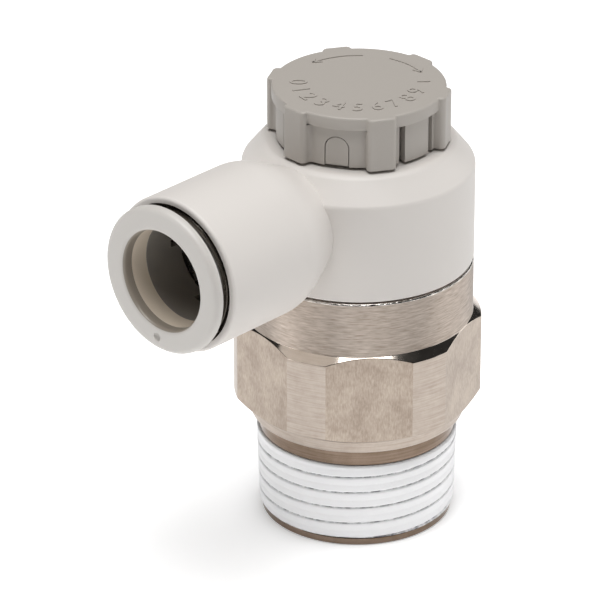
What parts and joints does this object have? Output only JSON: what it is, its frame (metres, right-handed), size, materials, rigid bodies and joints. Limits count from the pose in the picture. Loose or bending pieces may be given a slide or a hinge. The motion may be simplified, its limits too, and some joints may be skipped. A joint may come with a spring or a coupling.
{
  "type": "speed control valve",
  "caption": "Elbow speed control valve: plated brass body with a coated taper thread, swivelling plastic elbow with a push-in tube socket, and a push-to-lock needle knob.",
  "frame": {"origin": "on the valve's axis at the open end of the thread, the end that goes into the port", "axes": "+Z along the valve's axis from the thread to the knob, -X along the tube barrel towards the tube"},
  "size_m": [0.0414, 0.0256, 0.0479],
  "materials": {
    "plated_brass": "satin",
    "sealant_coating": "matte",
    "elbow_plastic": "satin",
    "knob_plastic": "satin",
    "button_plastic": "satin",
    "collet_plastic": "satin",
    "plain_brass": "satin",
    "stainless": "satin",
    "rubber": "matte"
  },
  "bodies": {
    "valve_body": {"brass_body": "plated_brass", "thread_sealant": "sealant_coating", "retaining_clip": "stainless"},
    "elbow": {"elbow_body": "elbow_plastic", "body_o_ring": "rubber", "orifice_sleeve": "plain_brass", "check_seal": "rubber", "check_seal_spacer": "elbow_plastic", "needle_guide": "plain_brass", "guide_o_ring": "rubber", "tube_seal": "rubber", "seal_backing_ring": "button_plastic", "tube_chuck": "stainless", "tube_guide": "stainless"},
    "release_ring": {"release_button": "button_plastic", "release_collet": "collet_plastic"},
    "knob_drive": {"knob_core": "knob_plastic"},
    "knob": {"knob_cap": "knob_plastic"},
    "needle_stem": {"needle": "plain_brass", "needle_o_ring": "rubber"}
  },
  "joints": [
    {"name": "elbow_swivel", "type": "hinge", "parent": "valve_body", "child": "elbow", "pos_m": [0, 0, 0.029], "axis": [0, 0, 1], "continuous": true},
    {"name": "knob_turn", "type": "hinge", "parent": "elbow", "child": "knob_drive", "pos_m": [0, 0, 0.0423], "axis": [0, 0, 1], "range_deg": [0, 2880]},
    {"name": "needle_feed", "type": "slide", "parent": "knob_drive", "child": "needle_stem", "axis": [0, 0, 1], "range_m": [0, 0.004]},
    {"name": "knob_lock", "type": "slide", "parent": "knob_drive", "child": "knob", "axis": [0, 0, 1], "range_m": [0, 0.0015]},
    {"name": "release_press", "type": "slide", "parent": "elbow", "child": "release_ring", "axis": [1, 0, 0], "range_m": [0, 0.00095], "stiffness_N_per_m": 200}
  ],
  "couplings": [
    {"joint": "knob_turn", "follows": "needle_feed", "rad_per_m": 12566}
  ]
}
